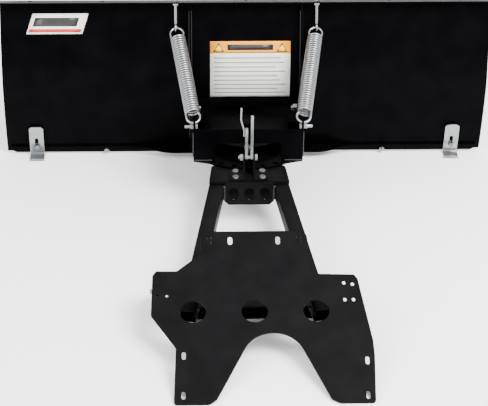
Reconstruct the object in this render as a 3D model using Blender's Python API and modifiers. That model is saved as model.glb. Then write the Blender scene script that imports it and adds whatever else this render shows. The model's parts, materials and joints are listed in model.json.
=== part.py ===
"""ATV plow blade: a curved steel blade that trips on springs, a swivel box with an angle lock,
a two-tube push frame and a hinged mount plate.

Metres, +Z up. The blade faces +Y. While the pieces are made, the sheet's lower edge lies at Y = 0.
At the end all of them move forward together, so that the origin is on the ground under the middle of
the overall box. The skid shoes, the push tubes' ends and the mount plate's legs rest on Z = 0.
"""
import math

import bmesh
import bpy
from mathutils import Matrix, Vector

MM = 0.001
GAP = 0.3 * MM                      # clearance between touching pieces

# Blade sheet
BLADE_WIDTH = 1270 * MM
SHEET = 3 * MM
BLADE_BOTTOM = 8 * MM               # height of the sheet's lower edge
LOWER_ARC = (196 * MM, 13.0, 2.5)   # length, lean at its start and end in degrees, rearward positive
MIDDLE_ARC = (40 * MM, 2.5, -9.5)
UPPER_ARC = (206 * MM, -9.5, -27.0)
FLANGE_DEPTH = 42 * MM
FLANGE_RISE = 16.0                  # degrees that the flange climbs toward its rear edge
BEND_RADIUS = 6 * MM
HOLE_PITCH = 185 * MM               # spacing of the holes along the flange and the wear bar
FLANGE_HOLE = 10 * MM

# Wear bar and skid shoes
WEAR_BAR = (1245 * MM, 6 * MM, 19 * MM)
WEAR_BOLT_RISE = 9 * MM             # bolt line above the sheet's lower edge
SKID_BOLT_RISE = 26 * MM
SKID_WIDTH = 38 * MM
SKID_THICKNESS = 5 * MM
SKID_TOP = 91 * MM                  # length above the sheet's lower edge
SKID_KNEE = 49 * MM                 # where the shoe bends toward the sheet
SKID_FOOT = 20 * MM
SKID_SLOT = (18 * MM, 54 * MM)      # slot ends above the sheet's lower edge
SKID_X = 3 * HOLE_PITCH
WEAR_BOLT_X = 2 * HOLE_PITCH

# Ribs, braces and the trip hinge
TRIP_Y = -60 * MM
TRIP_Z = 172 * MM
TRIP_BOLT = 12 * MM
BOSS_RADIUS = 18 * MM
RIB_THICKNESS = 5 * MM
RIB_DEPTH = 28 * MM
SHELF_Z = 20 * MM
SHELF_THICKNESS = 5 * MM
SHELF_REAR = -41 * MM               # rear edge of the shelf in the middle
SHELF_MIDDLE = 190 * MM
SHELF_END = 290 * MM

# Swivel box
BOX_HALF = 139 * MM                 # outer half width over the cheeks
CHEEK = 5 * MM
RIB_SPACE = 3 * MM                  # washer space between cheek and rib
BOX_BACK_Y = -255 * MM
BOX_TOP = 222.7 * MM
PLATE_5 = 5 * MM
WINDOW_HALF = 84 * MM
WINDOW_TOP = 182 * MM
KING_Y = -122 * MM
KING_PIN = 16 * MM
SECTOR_RADIUS = 172 * MM
LOCK_RADIUS = 163 * MM              # radius of the row of lock holes
SECTOR_SPREAD = 34.7                # degrees of rim on each side
LOCK_ANGLES = (-25.0, -12.5, 0.0, 12.5, 25.0)
LOCK_PIN = 12 * MM
BASE_THICKNESS = 6 * MM
BASE_FRONT_Y = -70 * MM
NOSE_THICKNESS = 8 * MM
NOSE_TOP = 125.7 * MM
TOP_PLATE_Z = 152 * MM
TOP_PLATE_RADIUS = 110 * MM
SLEEVE_RADIUS = 17 * MM
WEB_HALF = 60 * MM
WEB_THICKNESS = 5 * MM
EAR_Y = -250 * MM
EAR_HOLE_Z = 240.3 * MM
EAR_BOLT_Z = 230 * MM
EAR_TOP = 250 * MM
EAR_HALF = 10 * MM
EAR_HOLE = 9.2 * MM
EAR_BOLT = 8 * MM

# Push frame
NOSE_HALF = 42 * MM
NOSE_FLARE = ((94 * MM, -275 * MM), (101 * MM, -344.7 * MM))
TUBE = 38.1 * MM
TUBE_WALL = 3 * MM
TUBE_FRONT_Y = -292 * MM
TUBE_REAR_Y = -762 * MM
TUBE_X = (82.5 * MM, -345 * MM)     # middle of the tube at the cross plate
TUBE_SPLAY = 10.26                  # degrees outward toward the rear
TUBE_FALL = 10.3                    # degrees down toward the rear
CROSS_DEPTH = 66 * MM
CROSS_HOLE = (26 * MM, 38 * MM)
CROSS_PITCH = 39.5 * MM
CROSS_SPACE = 20 * MM
CHANNEL_HEIGHT = 36 * MM
CHANNEL_DEPTH = 37 * MM
CHANNEL_WALL = 4 * MM
CHANNEL_Y = -715 * MM
CHANNEL_Z = 3 * MM

# Angle lock
BRACKET_FOOT = (48 * MM, 4 * MM)    # half width and thickness
BRACKET_Y = (-296 * MM, -343 * MM)
POST_INNER = 10.5 * MM
POST_THICKNESS = 4 * MM
BRACKET_BOLT = (34 * MM, -305 * MM, -333 * MM)
PIVOT_Y = -300 * MM
PIVOT_Z = 169 * MM
PIVOT_BOLT = 10 * MM
LEVER_SWING = 14.0                  # degrees from released to locked
PIN_DROP = 6.5 * MM
LIFT_HEIGHT = 21 * MM               # the pin's cross rod above the pivot
LEVER_HALF = 7 * MM
LEVER_BAR = 6.6 * MM
LEVER_TOP = 289 * MM
STRAP_TOP = 253 * MM
PIN_LIFT_GAP = 0.7 * MM             # the released pin's tip stands this far over the sector plate

# Mount plate
PLATE_TILT = 19.0
PLATE_REAR_Y = -1064 * MM
PLATE_LENGTH = 477 * MM
MOUNT_THICKNESS = 4 * MM
ROD_Y = -682 * MM
ROD = 12.7 * MM
ROD_LEFT = -247 * MM
ROD_RIGHT = 192.8 * MM
LUG_THICKNESS = 5 * MM
LUG_BOSS = 14 * MM
LUG_HALF = 25 * MM
LUG_SWING_ROOM = 8 * MM             # space ahead of a swung inner lug
OUTER_LUG_LEFT = -228 * MM
OUTER_LUG_RIGHT = 190 * MM
OUTER_LUG_TOP = (-729 * MM, -790 * MM)
PORT_HOLE = 61 * MM
PORT_X = 142.5 * MM
PORT_MIDDLE = -4 * MM
PORT_ALONG = 248 * MM
PLATE_SLOT = (11 * MM, 26 * MM)

# Trip springs
SPRING_RADIUS = 20 * MM
SPRING_WIRE = 5.8 * MM
SPRING_TURNS = 32
SPRING_STEPS = 8
EYE_X = 182 * MM
EYE_ALONG = 28.5 * MM               # eyebolt hole, along the flange from its front bend
EYE_DROP = 66.5 * MM
EYE_MAJOR = 8.2 * MM
EYE_MINOR = 3.1 * MM
EYEBOLT = 8 * MM
HOOK_RISE = 5 * MM

BLACK = (0.012, 0.012, 0.013, 1.0)
SATIN_BLACK = (0.018, 0.018, 0.019, 1.0)
ZINC = (0.62, 0.64, 0.66, 1.0)
FINISHES = {"black_powder_coat": (BLACK, 0.3, 0.0), "satin_black_paint": (SATIN_BLACK, 0.5, 0.0),
            "zinc_plate": (ZINC, 0.32, 1.0)}
BLACK_COAT, SATIN, PLATED = FINISHES


# ---------------------------------------------------------------- scene set-up

for old in list(bpy.data.objects):
    bpy.data.objects.remove(old, do_unlink=True)

model = bpy.data.collections.new("atv_plow_blade")
cutters = bpy.data.collections.new("cutters")
bpy.context.scene.collection.children.link(model)
bpy.context.scene.collection.children.link(cutters)


def finish_material(node_name, finish):
    """Give each sub-part its own Principled material."""
    colour, roughness, metallic = FINISHES[finish]
    material = bpy.data.materials.new(node_name + "_" + finish)
    material.use_nodes = True
    shader = material.node_tree.nodes["Principled BSDF"]
    shader.inputs["Base Color"].default_value = colour
    shader.inputs["Roughness"].default_value = roughness
    shader.inputs["Metallic"].default_value = metallic
    material.diffuse_color = colour
    return material


def pivot_empty(name, location):
    """An empty on a joint's axis, to carry the pieces that turn about it."""
    empty = bpy.data.objects.new(name, None)
    empty.location = location
    model.objects.link(empty)
    return empty


def attach(obj, parent):
    """Parent without moving: the piece keeps its place in the world."""
    if parent is not None:
        obj.parent = parent
        obj.matrix_parent_inverse = Matrix.Translation(parent.location).inverted()


def add_object(name, mesh, finish, parent, smooth=False):
    obj = bpy.data.objects.new(name, mesh)
    model.objects.link(obj)
    mesh.materials.clear()
    mesh.materials.append(finish_material(name, finish))
    if smooth:
        mesh.shade_smooth()
        mesh.set_sharp_from_angle(angle=math.radians(35))
    attach(obj, parent)
    return obj


# ---------------------------------------------------------------- outlines in a plane

def circle(centre, radius, count=24, start=0.0):
    """Points round a circle."""
    return [(centre[0] + radius * math.cos(start + 2 * math.pi * i / count),
             centre[1] + radius * math.sin(start + 2 * math.pi * i / count)) for i in range(count)]


def arc(centre, radius, first, last, count):
    """Points along an arc, with its angles in degrees."""
    points = []
    for i in range(count + 1):
        angle = math.radians(first + (last - first) * i / count)
        points.append((centre[0] + radius * math.cos(angle), centre[1] + radius * math.sin(angle)))
    return points


def slot(centre, width, length, count=6):
    """A slot with round ends, its length along the second axis."""
    radius = width / 2
    reach = length / 2 - radius
    top = arc((centre[0], centre[1] + reach), radius, 0, 180, count)
    bottom = arc((centre[0], centre[1] - reach), radius, 180, 360, count)
    return top + bottom


def rounded(corners, count=4):
    """An outline whose corners (x, y, radius) are rounded with arcs."""
    points = []
    total = len(corners)
    for i, (x, y, radius) in enumerate(corners):
        here = Vector((x, y))
        before = Vector(corners[i - 1][:2]) - here
        after = Vector(corners[(i + 1) % total][:2]) - here
        if radius <= 0:
            points.append((x, y))
            continue
        half = before.angle(after) / 2
        reach = radius / math.tan(half)
        start = here + before.normalized() * reach
        end = here + after.normalized() * reach
        middle = here + (before.normalized() + after.normalized()).normalized() * radius / math.sin(half)
        a = start - middle
        b = end - middle
        turn = math.atan2(a.x * b.y - a.y * b.x, a.dot(b))
        steps = max(count, round(radius / (6 * MM)))
        for step in range(steps + 1):
            angle = turn * step / steps
            spun = Vector((a.x * math.cos(angle) - a.y * math.sin(angle),
                           a.x * math.sin(angle) + a.y * math.cos(angle)))
            points.append(tuple(middle + spun))
    return points


# Planes for the flat pieces: the outline's first and second axes, then the thickness.
PLANE_YZ = Matrix(((0, 0, 1), (1, 0, 0), (0, 1, 0))).to_4x4()
PLANE_XY = Matrix.Identity(4)
PLANE_XZ = Matrix(((1, 0, 0), (0, 0, -1), (0, 1, 0))).to_4x4()


def extruded_mesh(name, loops, thickness, plane, offset):
    """A flat outline with holes, as a filled 2D curve with thickness, turned into a clean mesh.

    The outline lies in the plane's first two axes. Its middle is at offset along the third.
    """
    curve = bpy.data.curves.new(name + "_outline", "CURVE")
    curve.dimensions = "2D"
    curve.fill_mode = "BOTH"
    curve.extrude = thickness / 2
    for loop in loops:
        spline = curve.splines.new("POLY")
        spline.points.add(len(loop) - 1)
        for point, (a, b) in zip(spline.points, loop):
            point.co = (a, b, 0, 1)
        spline.use_cyclic_u = True
    holder = bpy.data.objects.new(name + "_curve", curve)
    model.objects.link(holder)
    bpy.context.view_layer.update()
    depsgraph = bpy.context.evaluated_depsgraph_get()
    mesh = bpy.data.meshes.new_from_object(holder.evaluated_get(depsgraph))
    bpy.data.objects.remove(holder, do_unlink=True)
    bpy.data.curves.remove(curve)
    mesh.transform(plane @ Matrix.Translation((0, 0, offset)))
    return cleaned(mesh)


def cleaned(mesh):
    """Weld the seams of a converted mesh and face it outwards."""
    builder = bmesh.new()
    builder.from_mesh(mesh)
    bmesh.ops.remove_doubles(builder, verts=builder.verts, dist=1e-6)
    bmesh.ops.recalc_face_normals(builder, faces=builder.faces)
    builder.to_mesh(mesh)
    builder.free()
    return mesh


def plate(name, loops, thickness, plane, offset, finish, parent):
    mesh = extruded_mesh(name, loops, thickness, plane, offset)
    mesh.name = name
    return add_object(name, mesh, finish, parent)


def centred_cutter(name, mesh):
    """A hidden object that cuts or joins another."""
    obj = bpy.data.objects.new(name, mesh)
    cutters.objects.link(obj)
    obj.hide_render = True
    obj.display_type = "WIRE"
    return obj


def boolean(obj, other, operation):
    """Cut or join with the exact solver, and keep the result as the object's mesh."""
    modifier = obj.modifiers.new(operation.lower(), "BOOLEAN")
    modifier.operation = operation
    modifier.solver = "EXACT"
    modifier.object = other
    bpy.context.view_layer.update()
    depsgraph = bpy.context.evaluated_depsgraph_get()
    mesh = bpy.data.meshes.new_from_object(obj.evaluated_get(depsgraph))
    mesh.materials.clear()
    for material in obj.data.materials:
        mesh.materials.append(material)
    obj.modifiers.clear()
    obj.data = mesh
    bpy.data.objects.remove(other, do_unlink=True)
    return obj


def cylinder_mesh(name, radius, start, end, sides=24):
    """A capped cylinder between two points. Six sides make a hexagon, with radius to its corners."""
    start = Vector(start)
    end = Vector(end)
    builder = bmesh.new()
    bmesh.ops.create_cone(builder, cap_ends=True, segments=sides, radius1=radius, radius2=radius,
                          depth=(end - start).length)
    turn = (end - start).to_track_quat("Z", "Y").to_matrix().to_4x4()
    bmesh.ops.transform(builder, matrix=Matrix.Translation((start + end) / 2) @ turn, verts=builder.verts)
    mesh = bpy.data.meshes.new(name)
    builder.to_mesh(mesh)
    builder.free()
    return mesh


def cylinder(name, radius, start, end, finish, parent, sides=24):
    return add_object(name, cylinder_mesh(name, radius, start, end, sides), finish, parent, smooth=sides > 6)


def drill(obj, radius, start, end, sides=24):
    """Cut a round hole from start to end."""
    cutter = centred_cutter("drill", cylinder_mesh("drill", radius, start, end, sides))
    return boolean(obj, cutter, "DIFFERENCE")


def join_cylinder(obj, radius, start, end, sides=24):
    """Join a round or hexagonal length to a piece."""
    addition = centred_cutter("joined", cylinder_mesh("joined", radius, start, end, sides))
    return boolean(obj, addition, "UNION")


def hex_radius(across_flats):
    return across_flats / math.sqrt(3)


def bolt(name, shank, start, end, head, across, parent, nut=None):
    """A hexagon bolt from start to end, its head outside start. nut = (distance, height) adds one."""
    start = Vector(start)
    axis = (Vector(end) - start).normalized()
    corner = hex_radius(across)
    obj = cylinder(name, shank / 2, start - axis * head / 2, end, PLATED, parent)
    join_cylinder(obj, corner, start - axis * head, start, 6)
    if nut:
        foot = start + axis * nut[0]
        join_cylinder(obj, corner, foot, foot + axis * nut[1], 6)
    return obj


def nut(name, bore, start, end, across, parent):
    """A plain hexagon nut with a clear bore."""
    axis = (Vector(end) - Vector(start)).normalized()
    obj = cylinder(name, hex_radius(across), start, end, PLATED, parent, 6)
    return drill(obj, bore / 2, Vector(start) - axis * MM, Vector(end) + axis * MM)


# ---------------------------------------------------------------- the blade's section

def section_step(point, lean, length):
    """Move up the sheet by length at a lean in degrees, rearward positive."""
    angle = math.radians(lean)
    return (point[0] - length * math.sin(angle), point[1] + length * math.cos(angle))


def blade_section():
    """Middle line of the sheet as (y, z, lean), from its lower edge to the top bend."""
    point = (0.0, BLADE_BOTTOM)
    section = [(point[0], point[1], LOWER_ARC[1])]
    for (length, first, last), count in ((LOWER_ARC, 7), (MIDDLE_ARC, 3), (UPPER_ARC, 8)):
        for i in range(count):
            middle_lean = first + (last - first) * (i + 0.5) / count
            point = section_step(point, middle_lean, length / count)
            section.append((point[0], point[1], first + (last - first) * (i + 1) / count))
    return section


SECTION = blade_section()
TOP_Y, TOP_Z, TOP_LEAN = SECTION[-1]
RISE = math.radians(FLANGE_RISE)
FLANGE_DIRECTION = (-math.cos(RISE), math.sin(RISE))
FLANGE_DOWN = (-math.sin(RISE), -math.cos(RISE))


def sheet_offset(distance, low=0.0, high=1.0):
    """Points a distance behind the sheet's middle line, between two heights."""
    points = []
    for y, z, lean in SECTION:
        angle = math.radians(lean)
        if low <= z <= high:
            points.append((y - distance * math.cos(angle), z - distance * math.sin(angle)))
    return points


def sheet_at(height):
    """The sheet's (y, lean) at a height."""
    for (y0, z0, lean0), (y1, z1, lean1) in zip(SECTION, SECTION[1:]):
        if z0 <= height <= z1:
            share = (height - z0) / (z1 - z0)
            return y0 + (y1 - y0) * share, lean0 + (lean1 - lean0) * share
    return TOP_Y, TOP_LEAN


def flange_point(along, below=0.0):
    """A point (y, z) along the flange from the top bend, and a distance below its middle."""
    return (TOP_Y + FLANGE_DIRECTION[0] * along + FLANGE_DOWN[0] * below,
            TOP_Z + FLANGE_DIRECTION[1] * along + FLANGE_DOWN[1] * below)


def make_moldboard(parent):
    """The rolled sheet with its top flange, from a strip drawn out to the blade's width."""
    corner = Vector((TOP_Y, TOP_Z))
    below = Vector(SECTION[-2][:2]) - corner
    back = Vector(FLANGE_DIRECTION)
    half = below.angle(back) / 2
    reach = BEND_RADIUS / math.tan(half)
    middle = corner + (below.normalized() + back).normalized() * BEND_RADIUS / math.sin(half)
    start = corner + below.normalized() * reach - middle
    end = corner + back * reach - middle
    turn = math.atan2(start.x * end.y - start.y * end.x, start.dot(end))
    line = [(y, z) for y, z, _ in SECTION[:-1]]
    for i in range(5):
        angle = turn * i / 4
        line.append((middle.x + start.x * math.cos(angle) - start.y * math.sin(angle),
                     middle.y + start.x * math.sin(angle) + start.y * math.cos(angle)))
    line.append(flange_point(FLANGE_DEPTH))
    builder = bmesh.new()
    verts = [builder.verts.new((-BLADE_WIDTH / 2, y, z)) for y, z in line]
    edges = [builder.edges.new(pair) for pair in zip(verts, verts[1:])]
    drawn = bmesh.ops.extrude_edge_only(builder, edges=edges)
    moved = [item for item in drawn["geom"] if isinstance(item, bmesh.types.BMVert)]
    bmesh.ops.translate(builder, verts=moved, vec=(BLADE_WIDTH, 0, 0))
    bmesh.ops.recalc_face_normals(builder, faces=builder.faces)
    mesh = bpy.data.meshes.new("moldboard")
    builder.to_mesh(mesh)
    builder.free()
    obj = add_object("moldboard", mesh, BLACK_COAT, parent)
    wall = obj.modifiers.new("wall", "SOLIDIFY")
    wall.thickness = SHEET
    wall.offset = 0
    wall.use_even_offset = True
    bpy.context.view_layer.update()
    depsgraph = bpy.context.evaluated_depsgraph_get()
    solid = bpy.data.meshes.new_from_object(obj.evaluated_get(depsgraph))
    obj.modifiers.clear()
    obj.data = solid
    down = Vector((0, FLANGE_DOWN[0], FLANGE_DOWN[1])) * 8 * MM
    for column in (-3, -2, 0, 2, 3):
        at = Vector((column * HOLE_PITCH, *flange_point(FLANGE_DEPTH * 0.45)))
        drill(obj, FLANGE_HOLE / 2, at - down, at + down, 16)
    for side in (-1, 1):
        at = Vector((side * EYE_X, *flange_point(EYE_ALONG)))
        drill(obj, EYEBOLT / 2 + GAP, at - down, at + down, 16)
    for x in (-SKID_X, -WEAR_BOLT_X, WEAR_BOLT_X, SKID_X):
        start, end = bolt_line(x, -10 * MM, 10 * MM)
        drill(obj, 4 * MM + GAP, start, end, 16)
    obj.data.shade_smooth()
    obj.data.set_sharp_from_angle(angle=math.radians(25))
    return obj


FOOT_LEAN = math.radians(LOWER_ARC[1] - 1)
UP_SHEET = Vector((0, -math.sin(FOOT_LEAN), math.cos(FOOT_LEAN)))
BEHIND_SHEET = Vector((0, -math.cos(FOOT_LEAN), -math.sin(FOOT_LEAN)))
WEAR_MIDDLE = SHEET / 2 + GAP + WEAR_BAR[1] / 2
SKID_MIDDLE = WEAR_MIDDLE + WEAR_BAR[1] / 2 + GAP + SKID_THICKNESS / 2


def behind_foot(x, up, behind):
    """A point near the blade's lower edge: up the sheet and behind its middle."""
    return Vector((x, 0, BLADE_BOTTOM)) + UP_SHEET * up + BEHIND_SHEET * behind


def bolt_line(x, first, last):
    """A bolt's axis near the lower edge, between two distances behind the sheet's middle."""
    rise = SKID_BOLT_RISE if abs(x) > WEAR_BOLT_X + MM else WEAR_BOLT_RISE
    return behind_foot(x, rise, first), behind_foot(x, rise, last)


FOOT_TURN = Matrix((Vector((1, 0, 0)), UP_SHEET, BEHIND_SHEET)).transposed().to_4x4()


def make_wear_bar(parent):
    """The wear bar: a flat bar along the sheet's lower edge."""
    width, thick, tall = WEAR_BAR
    inset = 11 * MM
    outline = [(-width / 2 + inset, 0), (width / 2 - inset, 0), (width / 2, 8 * MM), (width / 2, tall),
               (-width / 2, tall), (-width / 2, 8 * MM)]
    holes = [circle((x, WEAR_BOLT_RISE), 4 * MM + GAP, 16) for x in (-WEAR_BOLT_X, WEAR_BOLT_X)]
    mesh = extruded_mesh("wear_bar", [outline] + holes, thick, PLANE_XY, 0)
    mesh.transform(Matrix.Translation(behind_foot(0, 0, WEAR_MIDDLE)) @ FOOT_TURN)
    return add_object("wear_bar", mesh, BLACK_COAT, parent)


def make_foot_bolt(name, x, parent):
    """A bolt through the sheet near its lower edge: dome in front, nut behind, spacer under a shoe."""
    skid = abs(x) > WEAR_BOLT_X + MM
    wear_back = WEAR_MIDDLE + WEAR_BAR[1] / 2
    seat = wear_back + GAP + (SKID_THICKNESS + GAP if skid else 0)
    start, end = bolt_line(x, -SHEET / 2 - GAP, seat + 10 * MM)
    obj = cylinder(name, 4 * MM, start - BEHIND_SHEET * 2 * MM, end, PLATED, parent, 16)
    join_cylinder(obj, 9 * MM, start - BEHIND_SHEET * 3.5 * MM, start, 16)
    if skid:
        near, far = bolt_line(x, SHEET / 2 + GAP, wear_back)
        join_cylinder(obj, 6.5 * MM, near, far, 16)
    foot, tip = bolt_line(x, seat, seat + 7 * MM)
    return join_cylinder(obj, hex_radius(13 * MM), foot, tip, 6)


def ribbon(points, thickness):
    """The outline of a bent flat bar along a chain of points, mitred at each bend."""
    upper = []
    lower = []
    for i, point in enumerate(points):
        here = Vector(point)
        before = (here - Vector(points[i - 1])).normalized() if i > 0 else None
        after = (Vector(points[i + 1]) - here).normalized() if i < len(points) - 1 else None
        along = ((before or after) + (after or before)).normalized()
        stretch = thickness / 2 / max(along.dot(after or before), 0.3)
        normal = Vector((-along.y, along.x)) * stretch
        upper.append(tuple(here + normal))
        lower.append(tuple(here - normal))
    return upper + list(reversed(lower))


def make_skid(name, x, parent):
    """A skid shoe: a flat bar with an adjusting slot, bent back into a foot on the ground."""
    thick = SKID_THICKNESS
    knee = behind_foot(0, SKID_KNEE, SKID_MIDDLE)
    bottom = behind_foot(0, 2 * MM, SKID_MIDDLE)
    lean = FOOT_LEAN - math.radians(7)
    reach = SKID_TOP - SKID_KNEE
    top = knee + Vector((0, -math.sin(lean), math.cos(lean))) * reach
    flat_y = bottom.y - 7 * MM
    toe_y = flat_y - SKID_FOOT
    line = [(top.y, top.z), (knee.y, knee.z), (bottom.y, bottom.z), (bottom.y - 2 * MM, thick / 2 + 2 * MM),
            (flat_y, thick / 2), (toe_y, thick / 2), (toe_y - 7 * MM, thick / 2 + 2.5 * MM)]
    mesh = extruded_mesh(name, [ribbon(line, thick)], SKID_WIDTH, PLANE_YZ, x)
    obj = add_object(name, mesh, PLATED, parent)
    half = SKID_WIDTH / 2
    face = rounded([(-half - MM, -80 * MM, 0), (half + MM, -80 * MM, 0), (half + MM, SKID_TOP - MM, 11 * MM),
                    (-half - MM, SKID_TOP - MM, 11 * MM)])
    front = extruded_mesh("face", [face], 200 * MM, PLANE_XY, 0)
    front.transform(Matrix.Translation(behind_foot(x, 0, SKID_MIDDLE)) @ FOOT_TURN)
    boolean(obj, centred_cutter("face", front), "INTERSECT")
    low, high = SKID_SLOT
    opening = extruded_mesh("slot", [slot((0, (low + high) / 2), 9 * MM, high - low)], 30 * MM, PLANE_XY, 0)
    opening.transform(Matrix.Translation(behind_foot(x, 0, SKID_MIDDLE)) @ FOOT_TURN)
    return boolean(obj, centred_cutter("slot", opening), "DIFFERENCE")


# ---------------------------------------------------------------- ribs and braces

RIB_OUTER = BOX_HALF + RIB_SPACE + RIB_THICKNESS
WEAR_REAR_Y = behind_foot(0, WEAR_BAR[2], WEAR_MIDDLE + WEAR_BAR[1] / 2).y - GAP


def make_rib(name, side, parent):
    """A stiffening rib behind the sheet, with the boss of the trip hinge."""
    seat = SHEET / 2 + GAP
    low = SHELF_Z + SHELF_THICKNESS + GAP
    step = BLADE_BOTTOM + WEAR_BAR[2] + MM
    foot_y, foot_lean = sheet_at(step)
    seat_y = foot_y - seat / math.cos(math.radians(foot_lean))
    front = [(WEAR_REAR_Y, low), (WEAR_REAR_Y, step), (seat_y, step)]
    front += sheet_offset(seat, step + 6 * MM, TOP_Z - 8 * MM)
    head = [flange_point(10 * MM, seat), flange_point(RIB_DEPTH, seat)]
    back = list(reversed(sheet_offset(seat + RIB_DEPTH, TRIP_Z + 70 * MM, TOP_Z - 45 * MM)))
    boss = arc((TRIP_Y, TRIP_Z), BOSS_RADIUS, 120, 225, 7)
    tail = [(SHELF_REAR + 2 * MM, low)]
    hole = circle((TRIP_Y, TRIP_Z), TRIP_BOLT / 2 + GAP)
    centre = side * (RIB_OUTER - RIB_THICKNESS / 2)
    return plate(name, [front + head + back + boss + tail, hole], RIB_THICKNESS, PLANE_YZ, centre,
                 BLACK_COAT, parent)


def make_shelf(parent):
    """The lower shelf: a flat plate whose rear edge swells out to carry the ribs."""
    front = WEAR_REAR_Y
    rear_side = front - 4 * MM
    rim = []
    steps = 10
    for i in range(steps + 1):
        share = i / steps
        ease = (1 - math.cos(math.pi * share)) / 2
        rim.append((SHELF_MIDDLE + (SHELF_END - SHELF_MIDDLE) * share,
                    SHELF_REAR + (rear_side - SHELF_REAR) * ease))
    outline = [(-SHELF_END, front), (SHELF_END, front)] + list(reversed(rim))
    outline += [(-x, y) for x, y in rim]
    return plate("lower_shelf", [outline], SHELF_THICKNESS, PLANE_XY, SHELF_Z + SHELF_THICKNESS / 2,
                 BLACK_COAT, parent)


def make_cross_brace(parent):
    """A flat bar between the ribs, just in front of the trip hinge."""
    low = TRIP_Z - 11 * MM
    high = TRIP_Z + 8 * MM
    rear = TRIP_Y + BOSS_RADIUS + 2 * MM
    y_sheet = min(sheet_at(low)[0], sheet_at(high)[0])
    front = y_sheet - SHEET / 2 - GAP - 0.2 * MM
    outline = [(front, low), (front, high), (rear, high), (rear, low)]
    half = RIB_OUTER - RIB_THICKNESS - GAP
    return plate("rib_cross_brace", [outline], 2 * half, PLANE_YZ, 0, BLACK_COAT, parent)


# ---------------------------------------------------------------- swivel box

BASE_Z = NOSE_TOP + GAP
BASE_TOP = BASE_Z + BASE_THICKNESS
BOX_FLOOR = BASE_TOP + GAP
PIN_Y = KING_Y - LOCK_RADIUS


def about_king(radius, angle):
    """A point about the king pin, with its angle in degrees from straight back, positive toward +X."""
    turn = math.radians(angle)
    return (radius * math.sin(turn), KING_Y - radius * math.cos(turn))


def king_arc(radius, first, last, count):
    return [about_king(radius, first + (last - first) * i / count) for i in range(count + 1)]


def make_base_plate(parent):
    """The swivel's base plate, whose round rear rim is the drilled sector of the angle lock."""
    half = BOX_HALF
    rim = king_arc(SECTOR_RADIUS, SECTOR_SPREAD, -SECTOR_SPREAD, 20)
    outline = [(half, BASE_FRONT_Y), (half, BOX_BACK_Y + 3 * MM)] + rim
    outline += [(-half, BOX_BACK_Y + 3 * MM), (-half, BASE_FRONT_Y)]
    holes = [circle((0, KING_Y), KING_PIN / 2 + GAP)]
    holes += [circle(about_king(LOCK_RADIUS, angle), LOCK_PIN / 2 + 0.5 * MM, 16) for angle in LOCK_ANGLES]
    return plate("swivel_base_plate", [outline] + holes, BASE_THICKNESS, PLANE_XY,
                 BASE_Z + BASE_THICKNESS / 2,
                 BLACK_COAT, parent)


def make_back_plate(parent):
    """The box's back plate, with the window that the lock pin and the king pin are seen through."""
    half = BOX_HALF
    corners = [(-half, BOX_FLOOR, 0), (-WINDOW_HALF, BOX_FLOOR, 0), (-WINDOW_HALF, WINDOW_TOP, 12 * MM),
               (WINDOW_HALF, WINDOW_TOP, 12 * MM), (WINDOW_HALF, BOX_FLOOR, 0), (half, BOX_FLOOR, 0),
               (half, BOX_TOP, 6 * MM), (-half, BOX_TOP, 6 * MM)]
    return plate("swivel_back_plate", [rounded(corners)], PLATE_5, PLANE_XZ, -(BOX_BACK_Y + PLATE_5 / 2),
                 BLACK_COAT, parent)


def make_cheek(name, side, parent):
    """A side wall of the box, from the trip hinge back to the spring ear over the back plate."""
    rear = BOX_BACK_Y + PLATE_5 + GAP
    over = BOX_TOP + GAP
    corner = 7 * MM
    outline = arc((TRIP_Y, TRIP_Z), BOSS_RADIUS, -100, 85, 10)
    outline += [(EAR_Y + EAR_HALF + 16 * MM, BOX_TOP - 6 * MM)]
    outline += arc((EAR_Y + EAR_HALF - corner, EAR_TOP - corner), corner, 0, 90, 4)
    outline += arc((EAR_Y - EAR_HALF + corner, EAR_TOP - corner), corner, 90, 180, 4)
    outline += [(EAR_Y - EAR_HALF, over), (rear, over), (rear, BOX_FLOOR), (BASE_FRONT_Y - 8 * MM,
                                                                            BOX_FLOOR)]
    holes = [circle((TRIP_Y, TRIP_Z), TRIP_BOLT / 2 + GAP), circle((EAR_Y, EAR_HOLE_Z), EAR_HOLE / 2, 16),
             circle((EAR_Y, EAR_BOLT_Z), EAR_BOLT / 2 + GAP, 16)]
    centre = side * (BOX_HALF - CHEEK / 2)
    return plate(name, [outline] + holes, CHEEK, PLANE_YZ, centre, BLACK_COAT, parent)


def make_top_plate(parent):
    """The upper plate of the swivel, round about the king pin at its rear."""
    half = TOP_PLATE_RADIUS
    rim = king_arc(TOP_PLATE_RADIUS, 90, -90, 18)
    outline = [(half, BASE_FRONT_Y)] + rim + [(-half, BASE_FRONT_Y)]
    hole = circle((0, KING_Y), KING_PIN / 2 + GAP)
    return plate("swivel_top_plate", [outline, hole], PLATE_5, PLANE_XY, TOP_PLATE_Z + PLATE_5 / 2,
                 BLACK_COAT, parent)


LOWER_TOP = NOSE_TOP - NOSE_THICKNESS - GAP
LOWER_THICKNESS = 6 * MM
LOWER_Z = LOWER_TOP - LOWER_THICKNESS


def make_lower_plate(parent):
    """The plate under the nose that closes the swivel's fork."""
    outline = [(WEB_HALF, BASE_FRONT_Y)] + king_arc(NOSE_HALF, 75, -75, 10) + [(-WEB_HALF, BASE_FRONT_Y)]
    hole = circle((0, KING_Y), KING_PIN / 2 + GAP)
    return plate("swivel_lower_plate", [outline, hole], LOWER_THICKNESS, PLANE_XY,
                 LOWER_Z + LOWER_THICKNESS / 2,
                 BLACK_COAT, parent)


def make_front_web(parent):
    """The upright plate across the fork's front, joining the lower, base and upper plates."""
    low = LOWER_Z
    high = TOP_PLATE_Z + PLATE_5
    outline = [(-WEB_HALF, low), (WEB_HALF, low), (WEB_HALF, high), (-WEB_HALF, high)]
    centre = BASE_FRONT_Y + GAP + WEB_THICKNESS / 2
    return plate("swivel_front_web", [outline], WEB_THICKNESS, PLANE_XZ, -centre, BLACK_COAT, parent)


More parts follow.
